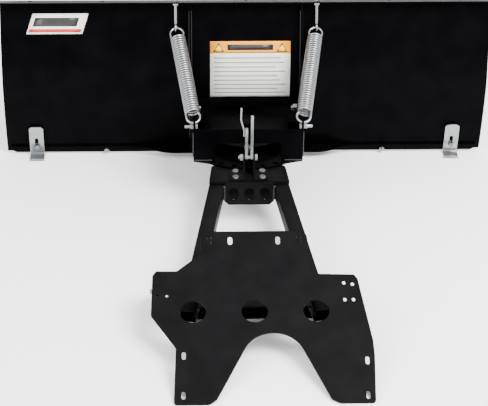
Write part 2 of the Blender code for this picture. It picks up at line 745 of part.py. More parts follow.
def make_sleeve(parent):
    """The spacer tube round the king pin between the base plate and the upper plate."""
    loops = [circle((0, KING_Y), SLEEVE_RADIUS), circle((0, KING_Y), KING_PIN / 2 + GAP)]
    low = BASE_TOP + GAP
    high = TOP_PLATE_Z - GAP
    return plate("king_pin_sleeve", loops, high - low, PLANE_XY, (low + high) / 2, BLACK_COAT, parent)


def make_ear_bolt(side, parent):
    """The bolt in the spring ear, head inside and nut outside."""
    name = "ear_bolt_left" if side < 0 else "ear_bolt_right"
    inner = side * (BOX_HALF - CHEEK - GAP)
    outer = side * (BOX_HALF + 22 * MM)
    return bolt(name, EAR_BOLT, (inner, EAR_Y, EAR_BOLT_Z), (outer, EAR_Y, EAR_BOLT_Z), 5 * MM, 12 * MM,
                parent,
                (CHEEK + 2 * GAP, 8 * MM))


# ---------------------------------------------------------------- trip springs

EYE_CENTRE = flange_point(EYE_ALONG, EYE_DROP)


def spring_ends(side):
    """The middles of the hook wires in the eyebolt and in the ear."""
    eye = Vector((side * EYE_X, *EYE_CENTRE))
    ear = Vector((side * (BOX_HALF - CHEEK / 2), EAR_Y, EAR_HOLE_Z))
    axis = (ear - eye).normalized()
    in_eye = eye + axis * (EYE_MAJOR - EYE_MINOR - SPRING_WIRE / 2 - GAP)
    in_ear = ear - axis * (EAR_HOLE / 2 - SPRING_WIRE / 2 - 3 * GAP)
    return in_eye, in_ear


def spring_frame(side):
    """The spring's place: its middle, the axis toward the ear, and the direction across."""
    in_eye, in_ear = spring_ends(side)
    axis = (in_ear - in_eye).normalized()
    across = (Vector((side, 0, 0)) - axis * axis.x * side).normalized()
    return in_eye, in_ear, axis, across


def hook_points(apex, inward, across, mean):
    """A hook: from the coil's wall, round past the apex, and back toward the coil."""
    centre = apex + inward * mean
    start = centre + inward * (HOOK_RISE + SPRING_WIRE) - across * mean
    points = [start]
    for i in range(11):
        angle = math.radians(180 - 215 * i / 10)
        points.append(centre + across * mean * math.cos(angle) - inward * mean * math.sin(angle))
    return points


def tube_mesh(name, points, radius, sides=2):
    """A round wire along a chain of points, with closed ends."""
    curve = bpy.data.curves.new(name, "CURVE")
    curve.dimensions = "3D"
    curve.bevel_depth = radius
    curve.bevel_resolution = sides
    curve.use_fill_caps = True
    spline = curve.splines.new("POLY")
    spline.points.add(len(points) - 1)
    for point, place in zip(spline.points, points):
        point.co = (*place, 1)
    holder = bpy.data.objects.new(name, curve)
    model.objects.link(holder)
    bpy.context.view_layer.update()
    depsgraph = bpy.context.evaluated_depsgraph_get()
    mesh = bpy.data.meshes.new_from_object(holder.evaluated_get(depsgraph))
    bpy.data.objects.remove(holder, do_unlink=True)
    bpy.data.curves.remove(curve)
    return cleaned(mesh)


def make_spring(name, side, parent):
    """An extension spring: one wire wound into the coil, with a hook at each end."""
    in_eye, in_ear, axis, across = spring_frame(side)
    mean = SPRING_RADIUS - SPRING_WIRE / 2
    third = axis.cross(across)
    first = in_eye + axis * (mean + HOOK_RISE + SPRING_WIRE)
    last = in_ear - axis * (mean + HOOK_RISE + SPRING_WIRE)
    length = (last - first).length
    count = SPRING_TURNS * SPRING_STEPS
    coil = []
    for i in range(count + 1):
        angle = 2 * math.pi * i / SPRING_STEPS
        place = first + axis * length * i / count
        coil.append(place + (across * math.cos(angle) + third * math.sin(angle)) * mean)
    upper = list(reversed(hook_points(in_eye, axis, -across, mean)[1:]))
    lower = hook_points(in_ear, -axis, -across, mean)[1:]
    mesh = tube_mesh(name, upper + coil + lower, SPRING_WIRE / 2)
    return add_object(name, mesh, PLATED, parent, smooth=True)


def make_eyebolt(side, parent):
    """An eyebolt through the flange, its eye in line with the spring."""
    name = "eyebolt_left" if side < 0 else "eyebolt_right"
    builder = bmesh.new()
    bmesh.ops.create_circle(builder, segments=8, radius=EYE_MINOR, matrix=Matrix.Translation((0,
                                                                                              EYE_MAJOR, 0)))
    bmesh.ops.spin(builder, geom=builder.verts[:] + builder.edges[:], cent=(0, 0, 0), axis=(1, 0, 0),
                   angle=2 * math.pi, steps=16, use_merge=True, use_duplicate=False)
    mesh = bpy.data.meshes.new(name)
    bmesh.ops.remove_doubles(builder, verts=builder.verts, dist=1e-6)
    bmesh.ops.recalc_face_normals(builder, faces=builder.faces)
    builder.to_mesh(mesh)
    builder.free()
    centre = Vector((side * EYE_X, *EYE_CENTRE))
    mesh.transform(Matrix.Translation(centre))
    obj = add_object(name, mesh, PLATED, parent, smooth=True)
    up = -Vector((0, *FLANGE_DOWN))
    start = centre + up * (EYE_MAJOR - EYE_MINOR * 0.4)
    join_cylinder(obj, EYEBOLT / 2, start, centre + up * (EYE_DROP + 20 * MM), 16)
    seat = centre + up * (EYE_DROP - SHEET / 2 - GAP)
    return join_cylinder(obj, hex_radius(13 * MM), seat - up * 6 * MM, seat, 6)


def make_eyebolt_nut(side, parent):
    """The nut on the eyebolt above the flange."""
    name = "eyebolt_nut_" + ("left" if side < 0 else "right")
    up = -Vector((0, *FLANGE_DOWN))
    start = Vector((side * EYE_X, *flange_point(EYE_ALONG))) + up * (SHEET / 2 + GAP)
    return nut(name, EYEBOLT + 2 * GAP, start, start + up * 6.5 * MM, 13 * MM, parent)


# ---------------------------------------------------------------- push frame

def make_nose(parent):
    """The nose plate: round about the king pin, then flared over the two tubes."""
    (wide, flare_y), (rear_half, rear_y) = NOSE_FLARE
    outline = arc((0, KING_Y), NOSE_HALF, 0, 180, 14)
    neck = flare_y + 45 * MM
    outline += [(-NOSE_HALF, neck), (-wide, flare_y), (-rear_half, rear_y), (rear_half, rear_y), (wide,
                                                                                                  flare_y),
                (NOSE_HALF, neck)]
    holes = [circle((0, KING_Y), KING_PIN / 2 + GAP)]
    x, front, rear = BRACKET_BOLT
    for side in (-1, 1):
        for y in (front, rear):
            holes.append(circle((side * x, y), 4 * MM + GAP, 16))
    return plate("nose_plate", [outline] + holes, NOSE_THICKNESS, PLANE_XY, NOSE_TOP - NOSE_THICKNESS / 2,
                 SATIN, parent)


NOSE_UNDER = NOSE_TOP - NOSE_THICKNESS - GAP
SPLAY = math.tan(math.radians(TUBE_SPLAY))
FALL = math.tan(math.radians(TUBE_FALL))
TUBE_RISE = TUBE / 2 / math.cos(math.radians(TUBE_FALL))
NOSE_SEAT_Y = -330 * MM             # where the tube's top meets the nose plate's underside


def tube_point(side, y):
    """The tube's middle at a station along the frame."""
    z = NOSE_UNDER - TUBE_RISE + (y - NOSE_SEAT_Y) * FALL
    return Vector((side * (TUBE_X[0] + (TUBE_X[1] - y) * SPLAY), y, z))


ROD_Z = tube_point(1, ROD_Y).z


def make_push_tube(name, side, parent):
    """A square tube from under the nose plate back to the ground, drilled for the hinge rod."""
    front = tube_point(side, TUBE_FRONT_Y)
    rear = tube_point(side, TUBE_REAR_Y)
    along = (rear - front).normalized()
    across = along.cross(Vector((0, 0, 1))).normalized()
    up = across.cross(along).normalized()
    half = TUBE / 2
    inner = half - TUBE_WALL
    corner = 4 * MM
    outline = rounded([(-half, -half, corner), (half, -half, corner), (half, half, corner), (-half, half,
                                                                                             corner)], 2)
    bore = [(-inner, -inner), (inner, -inner), (inner, inner), (-inner, inner)]
    mesh = extruded_mesh(name, [outline, bore], (rear - front).length, PLANE_XY, 0)
    turn = Matrix((across, up, along)).transposed().to_4x4()
    mesh.transform(Matrix.Translation((front + rear) / 2) @ turn)
    obj = add_object(name, cleaned(mesh), SATIN, parent)
    above = [(TUBE_FRONT_Y + 60 * MM, NOSE_UNDER), (NOSE_SEAT_Y - 60 * MM, NOSE_UNDER),
             (NOSE_SEAT_Y - 60 * MM, NOSE_UNDER + 60 * MM), (TUBE_FRONT_Y + 60 * MM, NOSE_UNDER + 60 * MM)]
    cutter = centred_cutter("above", extruded_mesh("above", [above], 400 * MM, PLANE_YZ, 0))
    boolean(obj, cutter, "DIFFERENCE")
    middle = tube_point(side, ROD_Y).x
    reach = 30 * MM
    return drill(obj, ROD / 2 + GAP, (middle - reach, ROD_Y, ROD_Z), (middle + reach, ROD_Y, ROD_Z))


def tube_inner_x(y):
    """Half the space between the tubes at a station along the frame."""
    return tube_point(1, y).x - TUBE / 2 / math.cos(math.radians(TUBE_SPLAY))


def make_cross_plate(parent):
    """The plate across the nose's rear edge, between the tubes, with three oblong holes."""
    front_y = NOSE_FLARE[1][1] - GAP
    half = tube_inner_x(front_y) - 2 * GAP
    top = NOSE_TOP - 0.7 * MM
    low = top - CROSS_DEPTH
    cut = 11 * MM
    corners = [(-half + cut, low, 0), (half - cut, low, 0), (half, low + cut, 0), (half, top, 3 * MM),
               (-half, top, 3 * MM), (-half, low + cut, 0)]
    middle = low + 32 * MM
    holes = [slot((x, middle), CROSS_HOLE[0], CROSS_HOLE[1]) for x in (-CROSS_PITCH, 0, CROSS_PITCH)]
    centre = front_y - PLATE_5 / 2
    return plate("front_cross_plate", [rounded(corners, 2)] + holes, PLATE_5, PLANE_XZ, -centre, SATIN,
                 parent)


def make_inner_cross_plate(parent):
    """The plain plate ahead of the drilled one, which makes a box between the tubes."""
    rear_y = NOSE_FLARE[1][1] + CROSS_SPACE
    half = tube_inner_x(rear_y + PLATE_5) - 2 * GAP
    top = NOSE_UNDER
    low = NOSE_TOP - 0.7 * MM - CROSS_DEPTH
    cut = 11 * MM
    corners = [(-half + cut, low, 0), (half - cut, low, 0), (half, low + cut, 0), (half, top, 0), (-half,
                                                                                                   top, 0),
               (-half, low + cut, 0)]
    centre = rear_y + PLATE_5 / 2
    return plate("inner_cross_plate", [rounded(corners)], PLATE_5, PLANE_XZ, -centre, SATIN, parent)


def make_rear_channel(parent):
    """The channel between the tubes' rear ends, open to the rear, its ends cut to the tubes' splay."""
    wall = CHANNEL_WALL
    front = CHANNEL_Y
    rear = front - CHANNEL_DEPTH
    low = CHANNEL_Z
    high = low + CHANNEL_HEIGHT
    outline = [(front, low), (front, high), (rear, high), (rear, high - wall), (front - wall, high - wall),
               (front - wall, low + wall), (rear, low + wall), (rear, low)]
    mesh = extruded_mesh("rear_cross_channel", [outline], 100 * MM, PLANE_YZ, 0)
    for vertex in mesh.vertices:
        vertex.co.x = math.copysign(tube_inner_x(vertex.co.y) - 2 * GAP, vertex.co.x)
    return add_object("rear_cross_channel", mesh, SATIN, parent)


# ---------------------------------------------------------------- angle lock

FOOT_TOP = NOSE_TOP + GAP + BRACKET_FOOT[1]


def make_lever_bracket(name, side, parent):
    """An angle bracket: a foot bolted to the nose plate and a post that carries the lever."""
    half, thick = BRACKET_FOOT
    front, rear = BRACKET_Y
    foot = rounded([(side * POST_INNER, front, 0), (side * half, front, 5 * MM), (side * half, rear, 5 * MM),
                    (side * POST_INNER, rear, 0)], 2)
    x, bolt_front, bolt_rear = BRACKET_BOLT
    holes = [circle((side * x, y), 4 * MM + GAP, 16) for y in (bolt_front, bolt_rear)]
    obj = plate(name, [foot] + holes, thick, PLANE_XY, NOSE_TOP + GAP + thick / 2, SATIN, parent)
    low = NOSE_TOP + GAP
    over = BOX_FLOOR + 3 * MM
    reach = PIN_Y + 9 * MM
    post = [(PIVOT_Y - 22 * MM, low), (front, low), (front, over), (reach, over), (reach,
                                                                                   GUIDE_TOP + 2 * MM)]
    post += arc((PIVOT_Y, PIVOT_Z), 12 * MM, 20, 180, 8)
    hole = circle((PIVOT_Y, PIVOT_Z), PIVOT_BOLT / 2 + GAP, 16)
    centre = side * (POST_INNER + POST_THICKNESS / 2)
    upright = extruded_mesh(name + "_post", [post, hole], POST_THICKNESS, PLANE_YZ, centre)
    return boolean(obj, centred_cutter("post", upright), "UNION")


GUIDE_LOW = BOX_FLOOR + 5 * MM
GUIDE_TOP = PIVOT_Z - LEVER_HALF - 3 * MM


def make_bracket_bolt(side, rear, parent):
    """A carriage bolt through a bracket's foot and the nose plate, with its nut below."""
    x, front_y, rear_y = BRACKET_BOLT
    y = rear_y if rear else front_y
    name = "bracket_bolt_" + ("rear" if rear else "front") + ("_left" if side < 0 else "_right")
    top = FOOT_TOP + GAP
    under = NOSE_TOP - NOSE_THICKNESS - GAP
    obj = cylinder(name, 4 * MM, (side * x, y, top + MM), (side * x, y, under - 9 * MM), PLATED, parent, 16)
    join_cylinder(obj, 8 * MM, (side * x, y, top), (side * x, y, top + 3.5 * MM), 16)
    return join_cylinder(obj, hex_radius(13 * MM), (side * x, y, under - 6 * MM), (side * x, y, under), 6)


def make_pin_guide(parent):
    """The guide tube of the lock pin, held between the bracket's posts."""
    outer = POST_INNER - GAP
    loops = [circle((0, PIN_Y), outer), circle((0, PIN_Y), LOCK_PIN / 2 + GAP)]
    return plate("lock_pin_guide", loops, GUIDE_TOP - GUIDE_LOW, PLANE_XY, (GUIDE_LOW + GUIDE_TOP) / 2,
                 SATIN, parent)


def make_lock_pin(parent):
    """The lock pin, stepped to a stem whose cross rod rides in the lever's slots."""
    tip = BASE_TOP + PIN_LIFT_GAP
    shoulder = GUIDE_TOP + 1 * MM
    lift = PIVOT_Z + LIFT_HEIGHT
    obj = cylinder("lock_pin", LOCK_PIN / 2, (0, PIN_Y, tip), (0, PIN_Y, shoulder), PLATED, parent)
    join_cylinder(obj, 3 * MM, (0, PIN_Y, shoulder - MM), (0, PIN_Y, lift + 5 * MM), 12)
    reach = LEVER_X + LEVER_BAR / 2 + 1.2 * MM
    return join_cylinder(obj, 2 * MM, (-reach, PIN_Y, lift), (reach, PIN_Y, lift), 12)


LEVER_X = POST_INNER - 0.4 * MM - LEVER_BAR / 2


def lift_slot():
    """The lever's slot, from the cross rod's released place to its locked place in the lever's frame."""
    ahead = PIN_Y - PIVOT_Y
    swing = math.radians(LEVER_SWING)
    high = Vector((ahead, LIFT_HEIGHT))
    low = LIFT_HEIGHT - PIN_DROP
    end = Vector((ahead * math.cos(swing) - low * math.sin(swing),
                  ahead * math.sin(swing) + low * math.cos(swing)))
    middle = (high + end) / 2
    along = (high - end).normalized()
    turned = Matrix((Vector((along.y, -along.x)), along)).transposed()
    shape = slot((0, 0), 5.2 * MM, (high - end).length + 5.2 * MM, 4)
    pivot = Vector((PIVOT_Y, PIVOT_Z))
    return [tuple(pivot + middle + turned @ Vector(point)) for point in shape]


def lever_outline(top):
    """A flat bar from the pivot to its top, with a lobe forward round the lifting slot."""
    half = LEVER_HALF
    lobe = Vector((PIN_Y, PIVOT_Z + LIFT_HEIGHT))
    outline = arc((PIVOT_Y, PIVOT_Z), half, 180, 350, 8)
    outline += arc(lobe, 6.5 * MM, -50, 60, 6)
    outline += [(PIVOT_Y + half, lobe.y + 12 * MM)]
    outline += arc((PIVOT_Y + half / 2, top - half / 2), half / 2, 0, 90, 3)
    outline += arc((PIVOT_Y - half / 2, top - half / 2), half / 2, 90, 180, 3)
    return outline


def make_lever_bar(name, side, top, parent):
    holes = [circle((PIVOT_Y, PIVOT_Z), PIVOT_BOLT / 2 + GAP, 16), lift_slot()]
    return plate(name, [lever_outline(top)] + holes, LEVER_BAR, PLANE_YZ, side * LEVER_X, PLATED, parent)


def make_pull_rod(parent):
    """The bent rod that a rope is tied to, beside the short bar."""
    beside = -(LEVER_X + LEVER_BAR / 2 + GAP + 2.5 * MM)
    low = STRAP_TOP - 22 * MM
    steps = [(0, 0, 0), (0, 0, 16), (-1, 0, 21), (-7, 1, 42), (-8, 1, 50), (-7.5, 2, 80)]
    points = [Vector((beside + x * MM, PIVOT_Y + y * MM, low + z * MM)) for x, y, z in steps]
    return add_object("pull_rod", tube_mesh("pull_rod", points, 2.5 * MM), PLATED, parent, smooth=True)


# ---------------------------------------------------------------- mount plate and hinge

TILT = math.radians(PLATE_TILT)
ALONG_PLATE = Vector((0, math.cos(TILT), math.sin(TILT)))
UP_PLATE = Vector((0, -math.sin(TILT), math.cos(TILT)))
PLATE_ORIGIN = Vector((0, PLATE_REAR_Y, MOUNT_THICKNESS / 2 * math.cos(TILT)))
ROD_POINT = Vector((0, ROD_Y, ROD_Z))


def make_mount_plate(parent):
    """The universal mount plate: a slotted plate with two legs round an arch."""
    length = PLATE_LENGTH
    corners = [(-191, 0, 8), (-111, 0, 8), (-94, 14, 12), (41, 289, 72), (161, 11, 12), (181, 0, 8),
               (259, 0, 8), (265, 127, 12), (264, 164, 12), (239, 337, 8),
               (231, 349, 6), (142, 352, 10), (126, 374, 12), (127, length / MM, 20), (-127, length / MM,
                                                                                       20),
               (-127, 411, 12), (-183, 362, 10), (-231, 363, 6), (-240, 349, 8), (-243, 238, 10), (-186,
                                                                                                   150, 12)]
    outline = rounded([(x * MM, along * MM, r * MM) for x, along, r in corners], 3)
    holes = [circle((PORT_MIDDLE + x, PORT_ALONG), PORT_HOLE / 2, 28) for x in (-PORT_X, 0, PORT_X)]
    width, tall = PLATE_SLOT
    for x in (-106, -56.5, 56.5, 106):
        holes.append(slot((x * MM, length - 27 * MM), width, tall, 4))
    for x, along in ((-168, 129), (-169, 25), (247, 112), (243, 21)):
        holes.append(slot((x * MM, along * MM), width * 0.85, tall * 0.9, 3))
    for x, along in ((-228, 293), (-206, 293)):
        holes.append(circle((x * MM, along * MM), 4 * MM, 10))
    for x, along in ((206, 326), (226, 322), (206, 279), (226, 279)):
        holes.append(slot((x * MM, along * MM), 8 * MM, 12 * MM, 3))
    mesh = extruded_mesh("mount_plate", [outline] + holes, MOUNT_THICKNESS, PLANE_XY, 0)
    turn = Matrix((Vector((1, 0, 0)), ALONG_PLATE, UP_PLATE)).transposed().to_4x4()
    mesh.transform(Matrix.Translation(PLATE_ORIGIN) @ turn)
    return add_object("mount_plate", mesh, SATIN, parent)


def under_plate(y):
    """Height of the mount plate's underside, less the welding gap."""
    along = (y - PLATE_ORIGIN.y) / math.cos(TILT)
    point = PLATE_ORIGIN + ALONG_PLATE * along
    return point.z - (MOUNT_THICKNESS / 2 + GAP) / math.cos(TILT)


def inner_lug_x():
    """Middle of an inner lug, which swings past the tube's inner face without touching it."""
    reach = math.hypot(LUG_HALF, TUBE_RISE) + LUG_SWING_ROOM
    return tube_inner_x(ROD_Y + reach) - LUG_THICKNESS / 2 - 2 * GAP


def make_lug(name, x, parent):
    """A hanging lug from the mount plate's underside down to the hinge rod."""
    front = ROD_Y + LUG_HALF
    rear = ROD_Y - LUG_HALF
    outline = arc((ROD_Y, ROD_Z), LUG_BOSS, 170, 370, 12)
    outline += [(front, ROD_Z + 45 * MM), (front, under_plate(front)), (rear, under_plate(rear)),
                (rear, ROD_Z + 45 * MM)]
    hole = circle((ROD_Y, ROD_Z), ROD / 2 + GAP)
    return plate(name, [outline, hole], LUG_THICKNESS, PLANE_YZ, x, SATIN, parent)


def make_outer_lug(name, x, parent):
    """A lug that reaches forward from under the mount plate's ear down to the hinge rod."""
    front, rear = OUTER_LUG_TOP
    outline = arc((ROD_Y, ROD_Z), LUG_BOSS, 190, 390, 12)
    outline += [(front + 8 * MM, under_plate(front) - 8 * MM), (front, under_plate(front)),
                (rear, under_plate(rear)), (rear, under_plate(rear) - 12 * MM), (ROD_Y - 30 * MM,
                                                                                 ROD_Z + 52 * MM)]
    hole = circle((ROD_Y, ROD_Z), ROD / 2 + GAP)
    return plate(name, [outline, hole], LUG_THICKNESS, PLANE_YZ, x, SATIN, parent)


def make_hinge_rod(parent):
    """The hinge rod, with a hexagon head at its right end."""
    return bolt("hinge_rod", ROD, (ROD_RIGHT, ROD_Y, ROD_Z), (ROD_LEFT, ROD_Y, ROD_Z), 8 * MM, 19 * MM,
                parent)


def make_rod_nut(parent):
    seat = OUTER_LUG_LEFT - LUG_THICKNESS / 2 - GAP
    return nut("hinge_rod_nut", ROD + 2 * GAP, (seat, ROD_Y, ROD_Z), (seat - 11 * MM, ROD_Y, ROD_Z),
               19 * MM, parent)


# ---------------------------------------------------------------- assembly

def build_blade():
    trip = pivot_empty("trip_axis", (0, TRIP_Y, TRIP_Z))
    make_moldboard(trip)
    make_wear_bar(trip)
    make_shelf(trip)
    make_cross_brace(trip)
    for side, word in ((-1, "left"), (1, "right")):
        make_rib("rib_" + word, side, trip)
        make_eyebolt(side, trip)
        make_eyebolt_nut(side, trip)
        make_foot_bolt("wear_bolt_" + word, side * WEAR_BOLT_X, trip)
        make_foot_bolt("skid_bolt_" + word, side * SKID_X, trip)
        make_spring("trip_spring_" + word, side, trip)
        inner = BOX_HALF - CHEEK - GAP
        outer = side * (RIB_OUTER + GAP)
        bolt("trip_bolt_" + word, TRIP_BOLT, (outer, TRIP_Y, TRIP_Z), (side * (inner - 15 * MM), TRIP_Y,
                                                                       TRIP_Z),
             7 * MM, 18 * MM, trip)
        nut("trip_nut_" + word, TRIP_BOLT + 2 * GAP, (side * inner, TRIP_Y, TRIP_Z),
            (side * (inner - 10 * MM), TRIP_Y, TRIP_Z), 18 * MM, trip)
        skid_axis = pivot_empty("skid_slide_" + word, behind_foot(side * SKID_X, 0, SKID_MIDDLE))
        make_skid("skid_shoe_" + word, side * SKID_X, skid_axis)


def build_swivel():
    swivel = pivot_empty("swivel_axis", (0, KING_Y, BASE_Z))
    make_base_plate(swivel)
    make_back_plate(swivel)
    make_top_plate(swivel)
    make_lower_plate(swivel)
    make_front_web(swivel)
    make_sleeve(swivel)
    for side, word in ((-1, "left"), (1, "right")):
        make_cheek("cheek_" + word, side, swivel)
        make_ear_bolt(side, swivel)


def build_push_frame():
    make_nose(None)
    make_cross_plate(None)
    make_inner_cross_plate(None)
    make_rear_channel(None)
    make_pin_guide(None)
    for side, word in ((-1, "left"), (1, "right")):
        make_push_tube("push_tube_" + word, side, None)
        make_lever_bracket("lever_bracket_" + word, side, None)
        make_bracket_bolt(side, False, None)
        make_bracket_bolt(side, True, None)
    king_top = TOP_PLATE_Z + PLATE_5 + GAP
    bolt("king_pin", KING_PIN, (0, KING_Y, king_top), (0, KING_Y, LOWER_Z - 16 * MM), 10 * MM, 24 * MM, None)
    nut("king_pin_nut", KING_PIN + 2 * GAP, (0, KING_Y, LOWER_Z - GAP), (0, KING_Y, LOWER_Z - 12 * MM),
        24 * MM, None)
    outside = POST_INNER + POST_THICKNESS + GAP
    bolt("lever_pivot_bolt", PIVOT_BOLT, (outside, PIVOT_Y, PIVOT_Z), (-outside - 12 * MM, PIVOT_Y, PIVOT_Z),
         6.5 * MM, 16 * MM, None)
    nut("lever_pivot_nut", PIVOT_BOLT + 2 * GAP, (-outside, PIVOT_Y, PIVOT_Z), (-outside - 8 * MM,
                                                                                PIVOT_Y, PIVOT_Z),
        16 * MM, None)


def build_lock():
    lever = pivot_empty("lever_axis", (0, PIVOT_Y, PIVOT_Z))
    make_lever_bar("lock_lever", 1, LEVER_TOP, lever)
    make_lever_bar("lever_strap", -1, STRAP_TOP, lever)
    make_pull_rod(lever)
    slide = pivot_empty("pin_slide", (0, PIN_Y, BASE_TOP))
    make_lock_pin(slide)


def build_mount():
    hinge = pivot_empty("mount_axis", ROD_POINT)
    make_mount_plate(hinge)
    make_lug("inner_lug_left", -inner_lug_x(), hinge)
    make_lug("inner_lug_right", inner_lug_x(), hinge)
    make_outer_lug("outer_lug_left", OUTER_LUG_LEFT, hinge)
    make_outer_lug("outer_lug_right", OUTER_LUG_RIGHT, hinge)
    make_hinge_rod(hinge)
    make_rod_nut(hinge)


def centre_on_ground():
    """Move everything along Y, so that the origin is under the middle of the overall box."""
    meshes = [obj for obj in model.objects if obj.type == "MESH"]
    stations = [vertex.co.y for obj in meshes for vertex in obj.data.vertices]
    shift = Vector((0, -(min(stations) + max(stations)) / 2, 0))
    for obj in model.objects:
        if obj.type == "EMPTY":
            obj.location += shift
    for obj in meshes:
        obj.data.transform(Matrix.Translation(shift))
        if obj.parent is not None:
            obj.matrix_parent_inverse = Matrix.Translation(obj.parent.location).inverted()
    return shift.y


build_blade()
build_swivel()
build_push_frame()
build_lock()
build_mount()
centre_on_ground()
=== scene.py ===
"""Looks of an ATV plow blade: powder-coated and enamelled steel, zinc-plated hardware, springs,
weld beads and blank stickers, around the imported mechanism."""

import json
import logging
import math
import random
from dataclasses import dataclass, field
from enum import Enum

import bmesh
import bpy
from mathutils import Matrix, Vector
from mathutils.bvhtree import BVHTree


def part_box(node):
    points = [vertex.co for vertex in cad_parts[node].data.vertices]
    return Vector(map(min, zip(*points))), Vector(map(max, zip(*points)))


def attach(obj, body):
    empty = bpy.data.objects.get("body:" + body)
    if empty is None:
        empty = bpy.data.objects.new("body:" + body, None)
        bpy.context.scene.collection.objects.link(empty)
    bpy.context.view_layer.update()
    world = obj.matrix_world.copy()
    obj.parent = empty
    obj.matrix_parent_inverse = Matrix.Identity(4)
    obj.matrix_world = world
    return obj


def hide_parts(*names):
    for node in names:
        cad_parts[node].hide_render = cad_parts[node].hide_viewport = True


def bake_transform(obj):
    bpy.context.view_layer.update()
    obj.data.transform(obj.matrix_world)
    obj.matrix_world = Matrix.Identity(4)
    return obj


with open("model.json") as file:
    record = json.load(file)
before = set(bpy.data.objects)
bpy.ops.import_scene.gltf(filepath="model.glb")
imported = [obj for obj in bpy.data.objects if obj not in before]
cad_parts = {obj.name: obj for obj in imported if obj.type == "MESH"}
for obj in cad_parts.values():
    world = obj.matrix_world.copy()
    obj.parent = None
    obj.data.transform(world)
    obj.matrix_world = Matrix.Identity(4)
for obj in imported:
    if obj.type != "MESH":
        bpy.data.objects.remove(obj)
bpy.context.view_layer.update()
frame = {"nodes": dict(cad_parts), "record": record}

MM = 0.001
IMAGE_WIDTH = 488
SENSOR_MM = 36.0
BLADE_FOOT_Y = 512.66 * MM          # the blade's lower edge, in front of the origin
log = logging.getLogger("plow")


# ---------------------------------------------------------------- node and mesh helpers

def linear(colour: str) -> tuple[float, float, float, float]:
    """Turn an sRGB hex colour into linear values.

    Args:
        colour: six hex digits after a hash.

    Returns:
        Red, green, blue and an alpha of one.
    """
    channels = [int(colour[i:i + 2], 16) / 255 for i in (1, 3, 5)]
    bent = [c / 12.92 if c <= 0.04045 else ((c + 0.055) / 1.055) ** 2.4 for c in channels]
    return (bent[0], bent[1], bent[2], 1.0)


def add_node(tree: bpy.types.NodeTree, kind: str, settings: dict | None = None, values: dict | None = None,
             links: dict | None = None) -> bpy.types.Node:
    """Add a shader node with its settings, socket values and incoming links.

    Args:
        tree: the material's node tree.
        kind: the node's type name.
        settings: attributes of the node.
        values: socket name or number to value.
        links: socket name or number to (node, output name).

    Returns:
        The new node.
    """
    node = tree.nodes.new(kind)
    for name, value in (settings or {}).items():
        setattr(node, name, value)
    for socket, value in (values or {}).items():
        node.inputs[socket].default_value = value
    for socket, (source, output) in (links or {}).items():
        tree.links.new(source.outputs[output], node.inputs[socket])
    return node


def per_metre(size_mm: float) -> float:
    """Noise scale whose grains are about size_mm across."""
    return 1000.0 / size_mm


def make_object(name: str, builder: bmesh.types.BMesh, smooth_angle: float = 35.0) -> bpy.types.Object:
    """Turn a bmesh into a linked object, shaded smooth below an angle.

    Args:
        name: the piece's name.
        builder: the finished bmesh, freed here.
        smooth_angle: edges sharper than this many degrees stay sharp.

    Returns:
        The new object.
    """
    mesh = bpy.data.meshes.new(name)
    builder.to_mesh(mesh)
    builder.free()
    mesh.shade_smooth()
    mesh.set_sharp_from_angle(angle=math.radians(smooth_angle))
    piece = bpy.data.objects.new(name, mesh)
    bpy.context.scene.collection.objects.link(piece)
    return piece


def body_of_node(node: str) -> str:
    """Name of the body that a CAD node belongs to."""
    bodies = frame["record"]["behaviour"]["bodies"]
    return next(body for body, nodes in bodies.items() if node in nodes)


def slot_of_node(node: str) -> str:
    """Material slot of a CAD node in the record."""
    return next(part["material_slot"] for part in frame["record"]["subparts"] if part["node"] == node)


def ring(builder: bmesh.types.BMesh, centre: Vector, along: Vector, radius: float, sides: int) -> list:
    """Add an open circle of edges square to a direction.

    Args:
        builder: the bmesh to add to.
        centre: middle of the circle.
        along: direction that the circle faces.
        radius: its radius.
        sides: its number of edges.

    Returns:
        The circle's vertices.
    """
    turn = along.normalized().to_track_quat("Z", "Y").to_matrix().to_4x4()
    made = bmesh.ops.create_circle(builder, segments=sides, radius=radius,
                                   matrix=Matrix.Translation(centre) @ turn)
    return made["verts"]


def edges_of(verts: list) -> list:
    """Edges that join the given vertices to each other."""
    chosen = set(verts)
    return list({edge for vert in verts for edge in vert.link_edges if edge.other_vert(vert) in chosen})


# ---------------------------------------------------------------- finishes

class Slot(Enum):
    """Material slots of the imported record."""

    BLACK = "black_coat"
    SATIN = "satin_coat"
    ZINC = "zinc"


